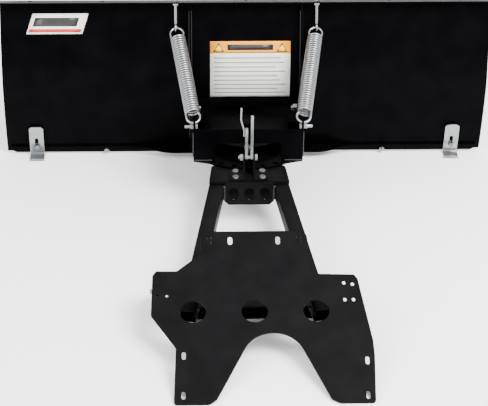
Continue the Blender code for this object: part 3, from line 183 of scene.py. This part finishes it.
@dataclass(frozen=True)
class PaintedSteel:
    """Baked paint on steel plate: a smooth film over a faint mill texture, with thin spots and dust."""

    name: str
    film: str
    thin_film: str
    roughness: tuple[float, float]
    peel_mm: float
    peel_height_mm: float
    coat: float
    specular: float

    def material(self) -> bpy.types.Material:
        """Build the paint.

        Returns:
            The node-based material.
        """
        made = bpy.data.materials.new(self.name)
        made.use_nodes = True
        tree = made.node_tree
        shader = tree.nodes["Principled BSDF"]
        place = add_node(tree, "ShaderNodeTexCoord")
        cloud = add_node(tree, "ShaderNodeTexNoise", values={"Scale": per_metre(60), "Detail": 5.0},
                         links={"Vector": (place, "Object")})
        tint = add_node(tree, "ShaderNodeValToRGB", links={"Fac": (cloud, "Fac")})
        tint.color_ramp.elements[0].position = 0.35
        tint.color_ramp.elements[0].color = linear(self.film)
        tint.color_ramp.elements[1].position = 0.75
        tint.color_ramp.elements[1].color = linear(self.thin_film)
        tree.links.new(tint.outputs["Color"], shader.inputs["Base Color"])
        patch = add_node(tree, "ShaderNodeTexNoise", values={"Scale": per_metre(35), "Detail": 3.0},
                         links={"Vector": (place, "Object")})
        sheen = add_node(tree, "ShaderNodeMapRange",
                         values={"To Min": self.roughness[0], "To Max": self.roughness[1]},
                         links={"Value": (patch, "Fac")})
        tree.links.new(sheen.outputs["Result"], shader.inputs["Roughness"])
        peel = add_node(tree, "ShaderNodeTexNoise", values={"Scale": per_metre(self.peel_mm), "Detail": 2.0},
                        links={"Vector": (place, "Object")})
        bump = add_node(tree, "ShaderNodeBump",
                        values={"Strength": 0.5, "Distance": self.peel_height_mm * MM},
                        links={"Height": (peel, "Fac")})
        tree.links.new(bump.outputs["Normal"], shader.inputs["Normal"])
        shader.inputs["Coat Weight"].default_value = self.coat
        shader.inputs["Coat Roughness"].default_value = 0.12
        shader.inputs["Specular IOR Level"].default_value = self.specular
        shader.inputs["IOR"].default_value = 1.5
        return made


@dataclass(frozen=True)
class ZincPlate:
    """Bright electroplated zinc: silvery with a faint blue and straw passivation and small dull spots."""

    name: str = "zinc_plated_steel_bright"
    silver: str = "#94989d"
    straw: str = "#918d80"
    roughness: tuple[float, float] = (0.22, 0.4)

    def material(self) -> bpy.types.Material:
        """Build the plating.

        Returns:
            The node-based material.
        """
        made = bpy.data.materials.new(self.name)
        made.use_nodes = True
        tree = made.node_tree
        shader = tree.nodes["Principled BSDF"]
        place = add_node(tree, "ShaderNodeTexCoord")
        cloud = add_node(tree, "ShaderNodeTexNoise", values={"Scale": per_metre(14), "Detail": 4.0},
                         links={"Vector": (place, "Object")})
        tint = add_node(tree, "ShaderNodeValToRGB", links={"Fac": (cloud, "Fac")})
        tint.color_ramp.elements[0].position = 0.4
        tint.color_ramp.elements[0].color = linear(self.silver)
        tint.color_ramp.elements[1].position = 0.8
        tint.color_ramp.elements[1].color = linear(self.straw)
        tree.links.new(tint.outputs["Color"], shader.inputs["Base Color"])
        spots = add_node(tree, "ShaderNodeTexNoise", values={"Scale": per_metre(5), "Detail": 3.0},
                         links={"Vector": (place, "Object")})
        dull = add_node(tree, "ShaderNodeMapRange",
                        values={"To Min": self.roughness[0], "To Max": self.roughness[1]},
                        links={"Value": (spots, "Fac")})
        tree.links.new(dull.outputs["Result"], shader.inputs["Roughness"])
        bump = add_node(tree, "ShaderNodeBump", values={"Strength": 0.3, "Distance": 0.05 * MM},
                        links={"Height": (spots, "Fac")})
        tree.links.new(bump.outputs["Normal"], shader.inputs["Normal"])
        shader.inputs["Metallic"].default_value = 1.0
        return made


@dataclass(frozen=True)
class Vinyl:
    """Printed vinyl film: flat ink under a clear laminate, slightly mottled."""

    name: str
    ink: str
    faded: str

    def material(self) -> bpy.types.Material:
        """Build the film.

        Returns:
            The node-based material.
        """
        made = bpy.data.materials.new(self.name)
        made.use_nodes = True
        tree = made.node_tree
        shader = tree.nodes["Principled BSDF"]
        place = add_node(tree, "ShaderNodeTexCoord")
        mottle = add_node(tree, "ShaderNodeTexNoise", values={"Scale": per_metre(9), "Detail": 3.0},
                          links={"Vector": (place, "Object")})
        tint = add_node(tree, "ShaderNodeValToRGB", links={"Fac": (mottle, "Fac")})
        tint.color_ramp.elements[0].position = 0.3
        tint.color_ramp.elements[0].color = linear(self.ink)
        tint.color_ramp.elements[1].position = 0.8
        tint.color_ramp.elements[1].color = linear(self.faded)
        tree.links.new(tint.outputs["Color"], shader.inputs["Base Color"])
        gloss = add_node(tree, "ShaderNodeMapRange", values={"To Min": 0.3, "To Max": 0.42},
                         links={"Value": (mottle, "Fac")})
        tree.links.new(gloss.outputs["Result"], shader.inputs["Roughness"])
        return made


class Finishes:
    """The finishes of this plow, each built once."""

    def __init__(self) -> None:
        """Build every material."""
        # Powder coat flows as it bakes, so it keeps a glossy skin with a soft orange peel.
        self.powder = PaintedSteel("powder_coated_steel_gloss_black", "#020203", "#050506", (0.2, 0.32), 3.5,
                                   0.05, 0.0, 0.015).material()
        # Satin enamel on the rolled frame stock is duller, and its film shows more of the steel's texture.
        self.enamel = PaintedSteel("enamelled_steel_satin_black", "#070708", "#0d0d0e", (0.34, 0.5), 2.5,
                                   0.08, 0.0, 0.05).material()
        # A weld bead under paint keeps its ripples, which scatter the light.
        self.weld = PaintedSteel("painted_weld_bead_black", "#0b0b0c", "#1a1a1b", (0.3, 0.5), 1.5, 0.25,
                                 0.1, 0.3).material()
        self.zinc = ZincPlate().material()
        self.label_paper = Vinyl("label_vinyl_pale_grey", "#d9d9d4", "#cfcfca").material()
        self.label_amber = Vinyl("label_vinyl_amber", "#e8930c", "#dd8a10").material()
        self.label_yellow = Vinyl("label_vinyl_yellow", "#f4c81a", "#e8bd1c").material()
        self.label_dark = Vinyl("label_vinyl_dark", "#1b1b1b", "#262626").material()
        self.label_bar = Vinyl("label_vinyl_grey_bar", "#8b8b88", "#979794").material()
        self.label_cream = Vinyl("label_vinyl_cream", "#efe9d8", "#e4deca").material()
        self.label_red = Vinyl("label_vinyl_red", "#b51f1a", "#a3201c").material()

    def of_slot(self, slot: Slot) -> bpy.types.Material:
        """Material of a record slot."""
        return {Slot.BLACK: self.powder, Slot.SATIN: self.enamel, Slot.ZINC: self.zinc}[slot]


# ---------------------------------------------------------------- steel pieces from the frame

@dataclass
class SteelWork:
    """Plates, tubes and hardware: the frame's own shapes with rounded edges and a real finish."""

    finishes: Finishes
    plate_edge: float = 0.5 * MM
    hardware_edge: float = 0.7 * MM
    merge_distance: float = 0.005 * MM
    flat_angle: float = 0.4             # degrees; flatter edges are dissolved
    rounded_angle: float = 40.0         # degrees; sharper edges are rounded
    left_to_others: tuple[str, ...] = ("trip_spring_left", "trip_spring_right")

    def dress(self, node: str) -> bpy.types.Object:
        """Copy a CAD node, weld it, round its edges and paint it.

        Args:
            node: the CAD node's name.

        Returns:
            The finished piece.
        """
        slot = Slot(slot_of_node(node))
        builder = bmesh.new()
        builder.from_mesh(frame["nodes"][node].data)
        bmesh.ops.remove_doubles(builder, verts=builder.verts, dist=self.merge_distance)
        bmesh.ops.dissolve_limit(builder, angle_limit=math.radians(self.flat_angle),
                                 verts=builder.verts, edges=builder.edges)
        piece = make_object(node + "_finished", builder, 30.0)
        edge = piece.modifiers.new("edge", "BEVEL")
        edge.width = self.hardware_edge if slot is Slot.ZINC else self.plate_edge
        edge.segments = 2
        edge.limit_method = "ANGLE"
        edge.angle_limit = math.radians(self.rounded_angle)
        edge.harden_normals = True
        piece.data.materials.append(self.finishes.of_slot(slot))
        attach(piece, body_of_node(node))
        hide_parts(node)
        return piece

    def build(self) -> list[bpy.types.Object]:
        """Dress every node that no other class rebuilds.

        Returns:
            The finished pieces.
        """
        return [self.dress(node) for node in sorted(frame["nodes"]) if node not in self.left_to_others]


# ---------------------------------------------------------------- trip springs

@dataclass
class TripSpring:
    """A close-wound extension spring between the blade's eyebolt and the ear of the swivel box."""

    side: int
    finishes: Finishes
    coil_radius: float = 20 * MM
    wire: float = 5.8 * MM
    turns: int = 34
    steps: int = 20
    wire_sides: int = 12
    hook_rise: float = 5 * MM
    hook_turn: float = 215.0            # degrees round the loop
    hook_steps: int = 24
    eye_radius: float = 11.3 * MM
    ear_hole: tuple[float, float] = (10 * MM, 9.7 * MM)
    eye_slack: float = 1.9 * MM
    ear_slack: float = 0.8 * MM

    def name(self) -> str:
        """Name of the CAD node that this spring stands for."""
        return "trip_spring_left" if self.side < 0 else "trip_spring_right"

    def hook(self, builder: bmesh.types.BMesh, apex: Vector, inward: Vector, across: Vector) -> None:
        """Add a full loop hook, from the coil's wall round past its apex.

        Args:
            builder: the spring's bmesh.
            apex: middle of the wire at the hook's far end.
            inward: direction from the hook to the coil.
            across: direction across the spring in the hook's plane.
        """
        mean = self.coil_radius - self.wire / 2
        centre = apex + inward * mean
        start = centre + inward * (self.hook_rise + self.wire) - across * mean
        verts = ring(builder, start, inward, self.wire / 2, self.wire_sides)
        caps = [verts]
        grown = bmesh.ops.extrude_edge_only(builder, edges=edges_of(verts))
        moved = [item for item in grown["geom"] if isinstance(item, bmesh.types.BMVert)]
        bmesh.ops.translate(builder, verts=moved, vec=centre - across * mean - start)
        spun = bmesh.ops.spin(builder, geom=moved + edges_of(moved), cent=centre, axis=across.cross(inward),
                              angle=math.radians(self.hook_turn), steps=self.hook_steps,
                              use_merge=False, use_duplicate=False)
        caps.append([item for item in spun["geom_last"] if isinstance(item, bmesh.types.BMVert)])
        for cap in caps:
            bmesh.ops.contextual_create(builder, geom=edges_of(cap))

    def build(self) -> bpy.types.Object:
        """Wind the coil and both hooks.

        Returns:
            The spring, stretched between the swivel and the blade.
        """
        word = "left" if self.side < 0 else "right"
        low, high = (Vector(corner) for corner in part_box("eyebolt_" + word))
        eye = Vector(((low.x + high.x) / 2, low.y + self.eye_radius, low.z + self.eye_radius))
        low, high = (Vector(corner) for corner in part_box("cheek_" + word))
        ear = Vector(((low.x + high.x) / 2, low.y + self.ear_hole[0], high.z - self.ear_hole[1]))
        axis = (ear - eye).normalized()
        in_eye = eye + axis * self.eye_slack
        in_ear = ear - axis * self.ear_slack
        across = (Vector((self.side, 0, 0)) - axis * axis.x * self.side).normalized()
        mean = self.coil_radius - self.wire / 2
        first = in_eye + axis * (mean + self.hook_rise + self.wire)
        last = in_ear - axis * (mean + self.hook_rise + self.wire)
        builder = bmesh.new()
        tangent = axis.cross(across)
        verts = ring(builder, first + across * mean, tangent, self.wire / 2, self.wire_sides)
        total = self.turns * self.steps
        spun = bmesh.ops.spin(builder, geom=verts + edges_of(verts), cent=first, axis=axis,
                              dvec=(last - first) / total, angle=2 * math.pi * self.turns, steps=total,
                              use_merge=False, use_duplicate=False)
        end = [item for item in spun["geom_last"] if isinstance(item, bmesh.types.BMVert)]
        bmesh.ops.contextual_create(builder, geom=edges_of(verts))
        bmesh.ops.contextual_create(builder, geom=edges_of(end))
        self.hook(builder, in_eye, axis, -across)
        self.hook(builder, in_ear, -axis, -across)
        bmesh.ops.recalc_face_normals(builder, faces=builder.faces)
        piece = make_object(self.name() + "_wound", builder, 50.0)
        piece.data.materials.append(self.finishes.zinc)
        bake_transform(piece)
        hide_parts(self.name())
        return piece


# ---------------------------------------------------------------- weld beads

@dataclass
class WeldBead:
    """A rippled fillet weld along a line of points."""

    name: str
    body: str
    points: list[Vector]
    finishes: Finishes
    radius: float = 2.6 * MM
    ripple: float = 4.0 * MM
    sides: int = 8
    slot: Slot = Slot.BLACK

    def build(self) -> bpy.types.Object:
        """Lay the bead ripple by ripple.

        Returns:
            The bead, riding on its body.
        """
        dice = random.Random(self.name)
        builder = bmesh.new()
        last = None
        for start, end in zip(self.points, self.points[1:]):
            along = end - start
            count = max(2, round(along.length / self.ripple * 3))
            for i in range(count + (end is self.points[-1])):
                swell = 0.82 + 0.18 * abs(math.sin(math.pi * i / 3)) + dice.uniform(-0.05, 0.05)
                at_end = (start is self.points[0] and i == 0) or i == count
                radius = self.radius * (0.35 if at_end else swell)
                verts = ring(builder, start + along * (i / count), along, radius, self.sides)
                if last is None:
                    bmesh.ops.contextual_create(builder, geom=edges_of(verts))
                else:
                    bmesh.ops.bridge_loops(builder, edges=last + edges_of(verts))
                last = edges_of(verts)
        bmesh.ops.contextual_create(builder, geom=last)
        bmesh.ops.recalc_face_normals(builder, faces=builder.faces)
        piece = make_object(self.name, builder, 60.0)
        piece.data.materials.append(self.finishes.weld)
        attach(piece, self.body)
        return piece


@dataclass
class Welds:
    """The fillet welds that show on the blade, the box, the frame and the mount plate."""

    finishes: Finishes
    pieces: list[bpy.types.Object] = field(default_factory=list)

    def bead(self, name: str, body: str, points: list[tuple[float, float, float]], radius: float = 2.6 * MM,
             slot: Slot = Slot.BLACK) -> None:
        """Add one bead.

        Args:
            name: its name.
            body: the body that it rides on.
            points: its line.
            radius: its thickness.
            slot: the record's slot for its paint; it is not used, as every bead takes the weld paint.
        """
        line = [Vector(point) for point in points]
        self.pieces.append(WeldBead(name, body, line, self.finishes, radius, slot=slot).build())

    def on_blade(self, sheet: "BladeBack") -> None:
        """Welds between the ribs and the blade's sheet."""
        for side, word in ((-1, "left"), (1, "right")):
            low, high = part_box("rib_" + word)
            inner, outer = (low.x, high.x) if side > 0 else (high.x, low.x)
            for edge, x in (("inner", inner), ("outer", outer)):
                heights = [low.z + 25 * MM + i * (high.z - low.z - 55 * MM) / 14 for i in range(15)]
                points = [tuple(sheet.behind(x, z, 0.4 * MM)) for z in heights]
                self.bead(f"weld_rib_{word}_{edge}", "blade", points, 2.3 * MM)

    def on_box(self) -> None:
        """Welds of the swivel box's back plate."""
        low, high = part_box("swivel_back_plate")
        for side, word in ((-1, "left"), (1, "right")):
            x_far = side * (high.x - 2 * MM)
            x_near = side * 92 * MM
            z = low.z
            self.bead("weld_box_foot_" + word, "swivel", [(x_near, low.y, z), (x_far, low.y, z)], 2.4 * MM)
            x = side * high.x
            points = [(x, high.y, low.z + 8 * MM), (x, high.y, high.z - 10 * MM)]
            self.bead("weld_box_side_" + word, "swivel", points, 2.2 * MM)

    def on_frame(self) -> None:
        """Welds of the push frame's cross plate and rear channel."""
        low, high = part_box("front_cross_plate")
        channel_low, channel_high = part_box("rear_cross_channel")
        for side, word in ((-1, "left"), (1, "right")):
            x = side * (high.x + 0.5 * MM)
            top = (x, low.y, high.z - 9 * MM)
            foot = (x, low.y, low.z + 16 * MM)
            self.bead("weld_cross_plate_" + word, "push_frame", [foot, top], 4.2 * MM, Slot.SATIN)
            x = side * (channel_high.x - 0.5 * MM)
            y = channel_low.y + MM
            points = [(x, y, channel_low.z + 5 * MM), (x, y, channel_high.z - 2 * MM)]
            self.bead("weld_channel_" + word, "push_frame", points, 3 * MM, Slot.SATIN)

    def on_mount(self) -> None:
        """Welds between the lugs and the mount plate's underside."""
        tilt = math.radians(19)
        outer_seam = 61 * MM
        for node in ("inner_lug_left", "outer_lug_left", "inner_lug_right", "outer_lug_right"):
            low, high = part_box(node)
            for face, x in (("a", low.x), ("b", high.x)):
                front = low.y + outer_seam if "outer" in node else high.y
                drop = (front - low.y) * math.tan(tilt)
                points = [(x, low.y + 3 * MM, high.z - drop - MM), (x, front - 3 * MM, high.z - 2 * MM)]
                self.bead(f"weld_{node}_{face}", "mount", points, 2.3 * MM, Slot.SATIN)


# ---------------------------------------------------------------- the blade's back and its stickers

class BladeBack:
    """The rear surface of the rolled sheet, for what is stuck or welded on it."""

    def __init__(self) -> None:
        """Make a search tree of the sheet."""
        builder = bmesh.new()
        builder.from_mesh(frame["nodes"]["moldboard"].data)
        self.tree = BVHTree.FromBMesh(builder)
        builder.free()

    def behind(self, x: float, z: float, lift: float) -> Vector:
        """A point behind the sheet.

        Args:
            x: across the blade.
            z: height.
            lift: distance off the sheet's rear face.

        Returns:
            The point.
        """
        hit, normal, _, _ = self.tree.ray_cast(Vector((x, -1, z)), Vector((0, 1, 0)))
        return hit + normal * lift


@dataclass
class Sticker:
    """A flat sticker or a printed field on one, laid on the curved sheet."""

    name: str
    left: float
    right: float
    low: float
    high: float
    lift: float
    material: bpy.types.Material
    slant: float = 0.0
    columns: int = 4

    def build(self, sheet: BladeBack) -> bpy.types.Object:
        """Lay the film on the sheet.

        Args:
            sheet: the surface under it.

        Returns:
            The sticker, riding on the blade.
        """
        builder = bmesh.new()
        rows = max(1, round((self.high - self.low) / (6 * MM)))
        bmesh.ops.create_grid(builder, x_segments=self.columns, y_segments=rows, size=0.5)
        for vert in builder.verts:
            z = self.low + (vert.co.y + 0.5) * (self.high - self.low)
            x = self.left + (vert.co.x + 0.5) * (self.right - self.left) + (z - self.low) * self.slant
            vert.co = sheet.behind(x, z, self.lift)
        return self.seal(builder)

    def seal(self, builder: bmesh.types.BMesh) -> bpy.types.Object:
        """Give the film its thickness and its ink.

        Args:
            builder: the laid film.

        Returns:
            The finished sticker.
        """
        bmesh.ops.recalc_face_normals(builder, faces=builder.faces)
        if sum(face.normal.y for face in builder.faces) > 0:
            bmesh.ops.reverse_faces(builder, faces=builder.faces)
        piece = make_object(self.name, builder)
        film = piece.modifiers.new("film", "SOLIDIFY")
        film.thickness = 0.12 * MM
        film.offset = 1
        piece.data.materials.append(self.material)
        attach(piece, "blade")
        return piece


@dataclass
class WarningTriangle(Sticker):
    """A blank three-cornered sign in the label's header."""

    def build(self, sheet: BladeBack) -> bpy.types.Object:
        """Lay the sign on the sheet.

        Args:
            sheet: the surface under it.

        Returns:
            The sign, riding on the blade.
        """
        builder = bmesh.new()
        bmesh.ops.create_circle(builder, cap_ends=True, segments=3, radius=0.5)
        bmesh.ops.rotate(builder, verts=builder.verts, matrix=Matrix.Rotation(math.radians(0), 3, "Z"))
        lowest = min(vert.co.y for vert in builder.verts)
        highest = max(vert.co.y for vert in builder.verts)
        widest = max(abs(vert.co.x) for vert in builder.verts)
        for vert in builder.verts:
            x = (self.left + self.right) / 2 + vert.co.x / widest / 2 * (self.right - self.left)
            z = self.low + (vert.co.y - lowest) / (highest - lowest) * (self.high - self.low)
            vert.co = sheet.behind(x, z, self.lift)
        return self.seal(builder)


@dataclass
class Stickers:
    """A blank instruction label in the middle and a plain flash at the top left."""

    finishes: Finishes
    sheet: BladeBack
    label: tuple[float, float, float, float] = (-93 * MM, 116 * MM, 186 * MM, 338 * MM)
    header: float = 31 * MM
    lines: int = 9
    bar: float = 3.4 * MM
    slant: float = 0.35                 # sideways run of the flash for each unit of height

    def build(self) -> list[bpy.types.Object]:
        """Lay the label, the flash and the small strip.

        Returns:
            The stickers.
        """
        f = self.finishes
        left, right, low, high = self.label
        split = high - self.header
        middle = (split + high) / 2
        layer = 0.15 * MM
        made = [Sticker("label_field", left, right, low, split, layer, f.label_paper),
                Sticker("label_header", left, right, split, high, layer, f.label_amber),
                Sticker("label_header_bar", left + 45 * MM, right - 45 * MM, middle - 7 * MM, middle + 7 * MM,
                        2 * layer, f.label_dark)]
        for word, x in (("left", left + 22 * MM), ("right", right - 22 * MM)):
            made.append(WarningTriangle("label_sign_" + word, x - 14 * MM, x + 14 * MM, middle - 12 * MM,
                                        middle + 12 * MM, 2 * layer, f.label_dark))
            made.append(WarningTriangle("label_sign_fill_" + word, x - 10 * MM, x + 10 * MM, middle - 10 * MM,
                                        middle + 7 * MM, 3 * layer, f.label_yellow))
        pitch = (split - low - 14 * MM) / self.lines
        dice = random.Random(7)
        for i in range(self.lines):
            z = split - 10 * MM - i * pitch
            end = right - 10 * MM - dice.uniform(0, 45) * MM
            made.append(Sticker(f"label_bar_{i}", left + 10 * MM, end, z - self.bar, z, 2 * layer,
                                f.label_bar))
        made.append(Sticker("small_strip", -90 * MM, -40 * MM, 165 * MM, 177 * MM, layer, f.label_paper))
        made += [Sticker("flash_field", -568 * MM, -424 * MM, 358 * MM, 407 * MM, layer, f.label_cream,
                         self.slant),
                 Sticker("flash_bar", -552 * MM, -438 * MM, 376 * MM, 397 * MM, 2 * layer, f.label_dark,
                         self.slant),
                 Sticker("flash_band", -563 * MM, -428 * MM, 362 * MM, 370 * MM, 2 * layer, f.label_red,
                         self.slant)]
        return [sticker.build(self.sheet) for sticker in made]


# ---------------------------------------------------------------- studio

@dataclass
class Studio:
    """The floor, the soft lights and the camera."""

    elevation: float = 33.58
    azimuth: float = 2.33
    roll: float = 0.85
    place: tuple[float, float, float] = (-0.1703, BLADE_FOOT_Y - 4.2189, 2.635)
    focal_pixels: float = 1841.8

    def camera(self) -> None:
        """Set the camera at the viewing angle."""
        e = math.radians(self.elevation)
        a = math.radians(self.azimuth)
        roll = math.radians(self.roll)
        view = Vector((math.sin(a) * math.cos(e), math.cos(a) * math.cos(e), -math.sin(e)))
        right = Vector((math.cos(a), -math.sin(a), 0))
        up = right.cross(view)
        right_rolled = right * math.cos(roll) + up * math.sin(roll)
        up_rolled = up * math.cos(roll) - right * math.sin(roll)
        data = bpy.data.cameras.new("camera")
        data.sensor_width = SENSOR_MM
        data.lens = self.focal_pixels * SENSOR_MM / IMAGE_WIDTH
        data.clip_end = 50
        camera = bpy.data.objects.new("camera", data)
        turn = Matrix((right_rolled, up_rolled, -view)).transposed().to_4x4()
        camera.matrix_world = Matrix.Translation(self.place) @ turn
        bpy.context.scene.collection.objects.link(camera)
        bpy.context.scene.camera = camera

    def floor(self) -> None:
        """Lay a plain pale floor."""
        builder = bmesh.new()
        bmesh.ops.create_grid(builder, x_segments=2, y_segments=2, size=12)
        floor = make_object("studio_floor", builder)
        pale = bpy.data.materials.new("studio_floor_pale")
        pale.use_nodes = True
        shader = pale.node_tree.nodes["Principled BSDF"]
        shader.inputs["Base Color"].default_value = linear("#ffffff")
        shader.inputs["Roughness"].default_value = 0.9
        floor.data.materials.append(pale)

    def light(self, name: str, place: tuple[float, float, float], target: tuple[float, float, float],
              size: float, power: float) -> None:
        """Add a soft square light.

        Args:
            name: its name.
            place: where it stands.
            target: what it faces.
            size: its side.
            power: its power in watts.
        """
        data = bpy.data.lights.new(name, "AREA")
        data.size = size
        data.energy = power
        lamp = bpy.data.objects.new(name, data)
        facing = (Vector(target) - Vector(place)).to_track_quat("-Z", "Y").to_matrix().to_4x4()
        lamp.matrix_world = Matrix.Translation(place) @ facing
        bpy.context.scene.collection.objects.link(lamp)

    def build(self) -> None:
        """Set the whole studio."""
        self.camera()
        self.floor()
        world = bpy.data.worlds.new("studio_world")
        world.use_nodes = True
        world.node_tree.nodes["Background"].inputs["Color"].default_value = linear("#ffffff")
        world.node_tree.nodes["Background"].inputs["Strength"].default_value = 1.7
        bpy.context.scene.world = world
        y = BLADE_FOOT_Y
        self.light("key_light", (1.6, y - 1.8, 3.0), (0.1, y - 0.2, 0.2), 1.8, 330)
        self.light("fill_light", (-2.6, y - 2.0, 2.4), (0, y - 0.4, 0.2), 2.4, 130)
        self.light("front_light", (0.6, y + 3.2, 2.2), (0, y, 0.2), 2.0, 50)


# ---------------------------------------------------------------- assembly

def main() -> None:
    """Build every piece."""
    logging.basicConfig(level=logging.INFO)
    Studio().build()
    finishes = Finishes()
    sheet = BladeBack()
    pieces = SteelWork(finishes).build()
    pieces += [TripSpring(side, finishes).build() for side in (-1, 1)]
    welds = Welds(finishes)
    welds.on_blade(sheet)
    welds.on_box()
    welds.on_frame()
    welds.on_mount()
    pieces += welds.pieces
    pieces += Stickers(finishes, sheet).build()
    for piece in pieces:
        log.info("%s: %d faces", piece.name, len(piece.data.polygons))


if __name__ == "__main__":
    main()
